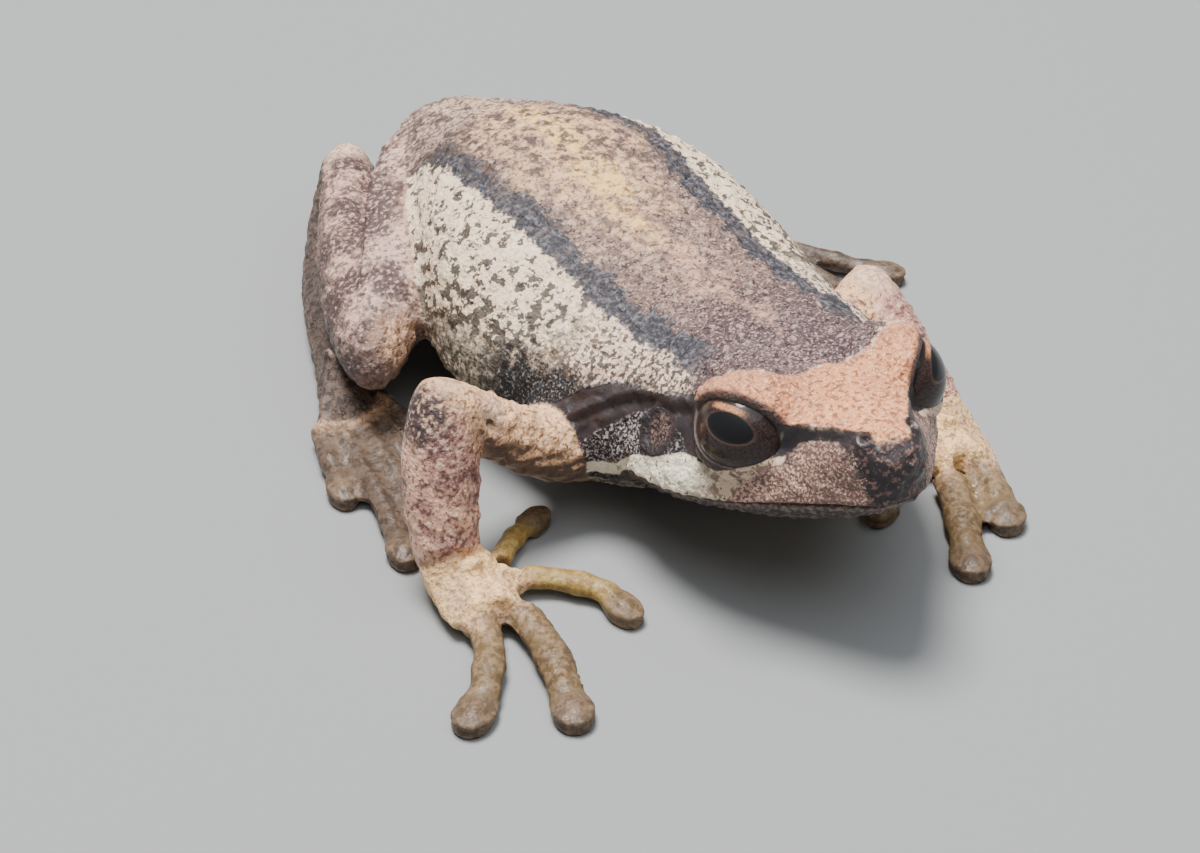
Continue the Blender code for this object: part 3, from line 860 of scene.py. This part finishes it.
colour = mixed(times(big_flecks, ramp(rear, 0.1, 0.6), 0.92), colour, (0.06, 0.048, 0.042))
dark_olive = mottled(speckle, 0.44, 0.6, (0.085, 0.072, 0.055), (0.40, 0.33, 0.25))
pale_olive = mottled(speckle, 0.44, 0.56, (0.30, 0.25, 0.19), (0.84, 0.70, 0.54))
olive = mottled(spots, 0.44, 0.58, dark_olive, pale_olive)
black_skin = mottled(fine_speckle, 0.54, 0.64, (0.022, 0.021, 0.023), (0.22, 0.20, 0.19))
low_flank = mixed(ramp(waved("snout", 1.5, spots), -8.5, -5.5), olive, black_skin)
colour = mixed(ramp(waved("flank", 1.6), -0.5, ramp(rear, 0, 1, 0.5, 1.6)), colour, low_flank)

# The dark patch of the back: mauve brown, slate along its edges, tan and gold down the middle.
head_side = ramp(marking("snout"), -6.0, 2.0)
mauve = mixed(head_side, (0.20, 0.12, 0.095), (0.095, 0.058, 0.062))
pale_mauve = mixed(head_side, (0.33, 0.21, 0.155), (0.19, 0.125, 0.12))
mauve = mixed(ramp(clouds, 0.35, 0.68, 0.0, 0.55), mauve, pale_mauve)
mauve = mixed(times(ramp(speckle, 0.50, 0.42), 0.9), mauve, (0.040, 0.027, 0.031))
mauve = mixed(times(ramp(fine_speckle, 0.53, 0.62), 0.6), mauve, (0.60, 0.43, 0.37))
slate = mottled(speckle, 0.46, 0.66, (0.036, 0.038, 0.048), (0.17, 0.165, 0.18))
slate = mixed(times(ramp(blotches(0.9, 3, 0.6), 0.52, 0.60), 0.6), slate, (0.024, 0.025, 0.032))
slate_share = times(ramp(waved("patch", 1.7, spots), 1.6, 1.2), ramp(marking("snout"), 3.6, 1.4))
slate_share = times(slate_share, ramp(marking("snout"), -22.0, -18.5, 0.3, 1.0))
mauve = mixed(times(slate_share, 0.94), mauve, slate)
tan_colour = mottled(spots, 0.42, 0.60, (0.82, 0.50, 0.27), (0.44, 0.26, 0.165))
front_tan = mottled(spots, 0.42, 0.60, (0.74, 0.42, 0.28), (0.40, 0.235, 0.18))
tan_colour = mixed(ramp(marking("snout"), -8.0, -4.0), tan_colour, front_tan)
tan_depth = waved("tan", 2.5, clouds)
tan_share = times(
    ramp(tan_depth, -0.5, 0.7), ramp(spots, 0.60, 0.48, 0.35, 1.0), ramp(speckle, 0.40, 0.50, 0.2, 1.0)
)
mauve = mixed(times(tan_share, 0.82), mauve, tan_colour)
gold_depth = waved("gold", 1.5, clouds)
gold_share = times(
    ramp(gold_depth, -0.4, 0.5), ramp(spots, 0.58, 0.46, 0.3, 1.0), ramp(speckle, 0.40, 0.50, 0.3, 1.0)
)
mauve = mixed(times(gold_share, 0.92), mauve, (1.0, 0.61, 0.20))
worn = blotches(0.5, 4, 0.7)
on_back = ramp(marking("snout"), -2.0, -7.0)
mauve = mixed(times(ramp(worn, 0.54, 0.60), on_back, 0.6), mauve, (0.15, 0.105, 0.10))
pale_wear = times(ramp(worn, 0.46, 0.40), on_back, ramp(slate_share, 0.6, 0.1))
mauve = mixed(times(pale_wear, 0.4), mauve, (0.88, 0.63, 0.44))
rump_marks = times(ramp(spots, 0.54, 0.59), ramp(marking("snout"), -9.0, -15.0))
rump = mottled(speckle, 0.45, 0.57, (0.20, 0.135, 0.12), (0.66, 0.48, 0.38))
mauve = mixed(ramp(marking("snout"), -19.5, -22.5, 0.0, 0.7), mauve, rump)
mauve = mixed(times(rump_marks, 0.75), mauve, (0.08, 0.052, 0.045))
mauve = mixed(times(ramp(wart, 0.26, 0.14), ramp(slate_share, 0.5, 0.1), 0.5), mauve, (0.68, 0.48, 0.38))
colour = mixed(inside("patch"), colour, mauve)

# Head: peach over the snout and lids, speckled cheeks, and the dark line from nostril to ear.
peach_colour = mottled(clouds, 0.35, 0.65, (0.84, 0.345, 0.155), (0.62, 0.25, 0.13))
peach_colour = mixed(ramp(fine_speckle, 0.5, 0.64, 0.0, 0.8), peach_colour, (1.0, 0.58, 0.34))
peach_colour = mixed(times(ramp(speckle, 0.49, 0.40), 0.8), peach_colour, (0.22, 0.085, 0.05))
lid_top = times(ramp(marking("snout"), 7.4, 5.6), ramp(clouds, 0.3, 0.6, 0.5, 1.0))
peach_colour = mixed(times(lid_top, 0.5), peach_colour, (0.50, 0.27, 0.19))
peach_colour = mixed(times(ramp(wart, 0.24, 0.12), lid_top, 0.45), peach_colour, (1.0, 0.68, 0.50))
colour = mixed(times(inside("peach", 0.1, 0.3), marking("head")), colour, peach_colour)
dark = mottled(clouds, 0.4, 0.7, (0.034, 0.028, 0.031), (0.064, 0.048, 0.048))
cheek_colour = mottled(clouds, 0.35, 0.65, (0.70, 0.43, 0.34), (0.50, 0.31, 0.25))
cheek_colour = mixed(ramp(fine_speckle, 0.5, 0.64, 0.0, 0.5), cheek_colour, (0.78, 0.52, 0.42))
cheek_level = ramp(marking("snout"), 7.0, 12.0, 0.50, 0.44)
cheek_flecks = ramp(math_node("SUBTRACT", fine_speckle, cheek_level), -0.01, 0.05)
cheek_colour = mixed(times(cheek_flecks, 0.85), cheek_colour, (0.12, 0.068, 0.058))
colour = mixed(times(inside("cheek", 0.12, 0.3), ramp(marking("head"), 0.3, 0.7)), colour, cheek_colour)
face_colour = mixed(times(ramp(speckle, 0.52, 0.64), 0.7), dark, (0.28, 0.155, 0.125))
face_share = times(inside("face", 0.45, 1.0), marking("head"), ramp(marking("peach"), 0.1, -0.1))
colour = mixed(face_share, colour, face_colour)
temple_colour = mottled(fine_speckle, 0.48, 0.60, (0.032, 0.026, 0.028), (0.46, 0.41, 0.42))
temple_colour = mixed(ramp(marking("ear"), -0.5, -0.1), temple_colour, dark)
off_limb = ramp(waved("limb", 0.3, fine_fray), 0.6, 0.3)
colour = mixed(times(inside("temple", 0.15, 0.3), off_limb), colour, temple_colour)
at_front = ramp(marking("snout"), 11.4, 12.4)
below_peach = ramp(marking("peach"), -0.3, -1.0)
line_fray = times(math_node("SUBTRACT", fine_speckle, 0.5), at_front, below_peach, 2.6)
line_depth = math_node("ADD", waved("line", 0.12), line_fray)
line_share = times(ramp(line_depth, -0.12, 0.12), off_limb)
colour = mixed(line_share, colour, mixed(at_front, dark, face_colour))
ear_colour = mottled(fine_speckle, 0.46, 0.60, (0.034, 0.024, 0.023), (0.22, 0.145, 0.125))
colour = mixed(times(ramp(marking("ear"), 0.15, 0.5), 0.9), colour, ear_colour)
# Painted shade: a dark band along the upper lid's edge, where the brow's shadow falls.
colour = mixed(times(ramp(marking("lid"), 0.36, 0.16), 0.9), colour, dark)
# Painted highlight: a paler line along the lower lid's wet edge, where it catches the light.
colour = mixed(times(ramp(marking("rim"), 0.07, 0.02), 0.6), colour, (0.30, 0.23, 0.20))
nostril_edge = times(ramp(marking("nostril"), 0.42, 0.34), ramp(marking("nostril"), 0.24, 0.30))
colour = mixed(times(nostril_edge, ramp(fray, 0.42, 0.55), 0.45), colour, (0.40, 0.33, 0.31))

# Lower jaw, throat and belly: a dark jaw with a thin pale edge at the lips, and a cream belly.
# The cream streak below the eye lies over them.
jaw_colour = mottled(speckle, 0.48, 0.62, (0.052, 0.040, 0.040), (0.19, 0.14, 0.125))
jaw_edge = times(
    ramp(marking("lips"), -0.42, -0.24), ramp(marking("lips"), -0.02, -0.12),
    ramp(speckle, 0.4, 0.55, 0.3, 1.0)
)
jaw_colour = mixed(times(jaw_edge, 0.4), jaw_colour, (0.36, 0.27, 0.21))
below_lips = ramp(marking("lips"), 0.03, -0.04)
colour = mixed(times(ramp(marking("jaw"), 0.35, 0.65), below_lips), colour, jaw_colour)
# Painted light and shade: the belly's granules paler on top and darker in the gaps between them.
belly = mottled(lit_grain_tops, 0.2, 0.9, (0.56, 0.47, 0.36), (0.84, 0.77, 0.64))
belly = mixed(times(ramp(speckle, 0.56, 0.68), 0.6), belly, (0.22, 0.17, 0.14))
colour = mixed(marking("under"), colour, belly)
streak_colour = mixed(ramp(marking("snout"), 5.5, 8.6), (1.0, 0.92, 0.72), (0.72, 0.54, 0.38))
streak_colour = mixed(times(ramp(speckle, 0.60, 0.64), 0.9), streak_colour, (0.16, 0.11, 0.08))
streak_flecks = times(ramp(spots, 0.50, 0.58), ramp(marking("snout"), 5.5, 7.6))
streak_colour = mixed(times(streak_flecks, 0.8), streak_colour, (0.16, 0.085, 0.065))
colour = mixed(times(inside("streak", 0.06, 0.12), off_limb), colour, streak_colour)

# Limbs: mottled peach and reddish brown, with tan hands and amber digits.
arm = mottled(clouds, 0.48, 0.72, (0.98, 0.56, 0.30), (0.62, 0.34, 0.19))
forearm = mottled(clouds, 0.38, 0.62, (0.42, 0.205, 0.165), (0.98, 0.55, 0.37))
leg = mottled(clouds, 0.40, 0.60, (0.125, 0.078, 0.076), (0.60, 0.40, 0.33))
shank = mottled(clouds, 0.42, 0.58, (0.115, 0.07, 0.066), (0.56, 0.35, 0.28))
leg = mixed(marking("shank"), leg, shank)
limb = mixed(marking("leg"), mixed(marking("forearm"), arm, forearm), leg)
dark_spots = times(ramp(spots, 0.54, 0.62), ramp(marking("leg"), 0.0, 1.0, 0.5, 0.8))
limb = mixed(dark_spots, limb, (0.10, 0.06, 0.056))
pale_specks = times(ramp(speckle, 0.53, 0.62), ramp(marking("leg"), 0.0, 1.0, 0.6, 0.5))
limb = mixed(pale_specks, limb, (0.84, 0.60, 0.48))
limb = mixed(times(ramp(speckle, 0.47, 0.40), 0.7), limb, (0.065, 0.04, 0.038))
# Painted shade: the legs darker on their sides than on their tops, broken up by spots.
leg_side_shade = times(ramp(marking("top"), 0.9, 0.2), marking("leg"), ramp(spots, 0.62, 0.46, 0.25, 0.65))
limb = mixed(leg_side_shade, limb, (0.09, 0.06, 0.056))
rust_colour = mottled(speckle, 0.42, 0.58, (0.88, 0.52, 0.32), (0.30, 0.17, 0.11))
limb = mixed(times(ramp(waved("rust", 0.5), 0.2, 0.8), 0.75), limb, rust_colour)
dusk_share = times(ramp(waved("dusk", 0.5), 0.2, 0.8), ramp(speckle, 0.62, 0.50, 0.3, 0.95))
limb = mixed(dusk_share, limb, (0.055, 0.042, 0.044))
pale_colour = mottled(speckle, 0.42, 0.58, (1.0, 0.70, 0.50), (0.52, 0.32, 0.22))
limb = mixed(times(ramp(waved("pale", 0.5), 0.2, 0.8), 0.8), limb, pale_colour)
mottle = blotches(0.42, 4, 0.68)
# Painted shade: the upper arms darker on their undersides, which turn from the light.
painted_underarm_shade = ramp(waved("side", 1.0, speckle), 0.20, 0.85)
on_arm = times(
    ramp(marking("forearm"), 0.7, 0.1), ramp(marking("leg"), 0.5, 0.1), ramp(marking("hand"), 0.5, 0.1)
)
limb = mixed(times(on_arm, painted_underarm_shade, 0.9), limb, (0.060, 0.043, 0.038))
hand = mottled(mottle, 0.51, 0.66, (1.0, 0.63, 0.28), (0.50, 0.28, 0.15))
hand = mixed(times(ramp(fine_speckle, 0.54, 0.64), 0.6), hand, (1.0, 0.82, 0.54))
hand = mixed(times(ramp(speckle, 0.47, 0.40), 0.45), hand, (0.17, 0.085, 0.045))
# Painted shade: the tops of the hands and feet darker in the hollows between the tendons.
shade_between_bones = times(ramp(waved("web", 0.15, fine_fray), 0.22, 0.50), marking("top"))
hollow = mottled(speckle, 0.4, 0.6, (0.22, 0.125, 0.10), (0.60, 0.37, 0.24))
hand = mixed(times(shade_between_bones, 0.6), hand, hollow)
limb = mixed(ramp(waved("hand", 0.45, fine_fray), 0.15, 0.75), limb, hand)
foot = mottled(mottle, 0.44, 0.58, (0.17, 0.12, 0.095), (0.060, 0.043, 0.038))
foot = mixed(times(shade_between_bones, 0.6), foot, (0.038, 0.028, 0.026))
limb = mixed(ramp(marking("foot"), 0.3, 0.7), limb, foot)
digit = mottled(clouds, 0.35, 0.65, (0.125, 0.08, 0.034), (0.07, 0.044, 0.022))
amber = mottled(mottle, 0.4, 0.6, (0.42, 0.29, 0.075), (0.26, 0.155, 0.045))
digit = mixed(marking("inner"), digit, amber)
# Painted light: the digits paler on their tops, where the light falls on them.
lit_digit_tops = times(marking("top"), ramp(mottle, 0.42, 0.58, 0.8, 0.1), ramp(marking("inner"), 0, 1, 1.0, 0.4))
digit = mixed(lit_digit_tops, digit, (0.26, 0.18, 0.105))
digit = mixed(times(marking("toe"), 0.8), digit, foot)
digit = mixed(times(ramp(speckle, 0.55, 0.64), 0.5), digit, (0.16, 0.09, 0.05))
disc_colour = mottled(mottle, 0.42, 0.58, (0.075, 0.05, 0.034), (0.19, 0.125, 0.08))
digit = mixed(times(marking("disc"), 0.85), digit, disc_colour)
limb = mixed(ramp(waved("digit", 0.35, fine_fray), 0.2, 1.0), limb, digit)
limb = mixed(times(marking("under"), 0.7), limb, (0.56, 0.42, 0.28))
colour = mixed(ramp(marking("limb"), 0.35, 0.65), colour, limb)
tree.links.new(colour, shader.inputs["Base Color"])

smoothness = math_node("MAXIMUM", marking("digit"), line_share)
fine_wrinkles = blotches(0.20, 3, 0.65)
relief = math_node("ADD", times(ramp(grains, 0.6, 0.1), 0.35), times(ramp(coarse_grains, 0.6, 0.1), 0.35))
relief = math_node("ADD", relief, times(fine_wrinkles, 1.3))
relief = times(relief, ramp(smoothness, 0.0, 1.0, 1.0, 0.3))
PEBBLE_HEIGHT = 0.09 * MM
bump = tree.nodes.new("ShaderNodeBump")
bump.inputs["Strength"].default_value = 1.0
bump.inputs["Distance"].default_value = PEBBLE_HEIGHT
tree.links.new(relief, bump.inputs["Height"])
tree.links.new(bump.outputs["Normal"], shader.inputs["Normal"])
gloss = ramp(blotches(0.5, 2), 0.35, 0.7, 0.34, 0.58)
tree.links.new(gloss, shader.inputs["Roughness"])
shader.inputs["Subsurface Weight"].default_value = 0.08
shader.inputs["Subsurface Radius"].default_value = (1.0, 0.45, 0.25)
shader.inputs["Subsurface Scale"].default_value = 0.0003
shader.inputs["Specular IOR Level"].default_value = 0.30
mesh.materials.clear()
mesh.materials.append(finish)
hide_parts(*flesh)
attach(skin, "root")

# ---------------------------------------------------------------------------------------------
# Eyes.
# Each is a clear wet ball in its lids: a level black pupil in a dark brown iris, whose upper
# edge shines like copper. Its finish is mixed by the same functions as the skin's.
# ---------------------------------------------------------------------------------------------
PUPIL_LOOK = Vector((0.71, -0.47, 0.56))
PUPIL_SIZE = (0.50, 0.27)
CORNEA_BULGE = 0.10

eye_finish = bpy.data.materials.new("wet_eye")
eye_finish.use_nodes = True
tree = eye_finish.node_tree
shader = tree.nodes["Principled BSDF"]
place = tree.nodes.new("ShaderNodeTexCoord").outputs["Object"]
veins = blotches(0.10, 3)
level, rise = marking("level"), marking("rise")
wide = math_node("POWER", math_node("DIVIDE", level, PUPIL_SIZE[0]), 2)
tall = math_node("POWER", math_node("DIVIDE", rise, PUPIL_SIZE[1]), 2)
pupil = math_node("SQRT", math_node("ADD", wide, tall))
colour = mottled(veins, 0.35, 0.65, (0.020, 0.013, 0.012), (0.050, 0.031, 0.028))
copper = mottled(veins, 0.3, 0.7, (0.32, 0.13, 0.055), (0.66, 0.33, 0.17))
copper_edge = times(ramp(rise, 0.24, 0.32), ramp(rise, 0.45, 0.38))
copper_edge = times(copper_edge, ramp(level, 0.34, -0.05), ramp(level, -0.64, -0.42))
colour = mixed(times(ramp(pupil, 1.0, 1.1), ramp(pupil, 2.3, 1.7), copper_edge), colour, copper)
# Painted shade: the top of the eye darkened, where the brow's shadow falls on it.
colour = mixed(times(ramp(rise, 0.37, 0.46), 0.9), colour, (0.016, 0.012, 0.012))
ring = times(ramp(pupil, 0.98, 1.05), ramp(pupil, 1.22, 1.10))
colour = mixed(times(ring, ramp(rise, 0.1, -0.1, 0.1, 0.3)), colour, (0.20, 0.13, 0.09))
colour = mixed(ramp(pupil, 1.03, 0.97), colour, (0.012, 0.012, 0.014))
tree.links.new(colour, shader.inputs["Base Color"])
shader.inputs["Roughness"].default_value = 0.35
shader.inputs["Specular IOR Level"].default_value = 0.15
shader.inputs["Coat Weight"].default_value = 0.5
shader.inputs["Coat Roughness"].default_value = 0.03
shader.inputs["Coat IOR"].default_value = 1.38

for word in ("left", "right"):
    side = 1 if word == "left" else -1
    centre = eye_axes(word)[0]
    look = head_way(PUPIL_LOOK, side).normalized()
    bpy.ops.object.select_all(action="DESELECT")
    bpy.ops.mesh.primitive_uv_sphere_add(segments=64, ring_count=40, radius=EYEBALL * MM)
    eye = bpy.context.object
    eye.name = word + "_eyeball"
    ball = points_of(eye.data)
    ball[:, 2] += CORNEA_BULGE * smooth_step(0.55, 0.95, ball[:, 2] / EYEBALL)
    ahead, up = axes_round(look, side)
    forward = -side * ball[:, 0]
    level_of = np.arctan2(forward, ball[:, 2])
    rise_of = np.arctan2(ball[:, 1], ball[:, 2])
    for name, values in (("level", level_of), ("rise", rise_of)):
        layer = eye.data.attributes.new(name, "FLOAT", "POINT")
        layer.data.foreach_set("value", values.astype(np.float32))
    turned = np.outer(forward, np.array(ahead)) + np.outer(ball[:, 1], np.array(up))
    turned += np.outer(ball[:, 2], np.array(look))
    move_points(eye.data, turned + np.array(centre))
    eye.data.shade_smooth()
    eye.data.materials.append(eye_finish)
    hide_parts("eye_" + word)
    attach(eye, "root")
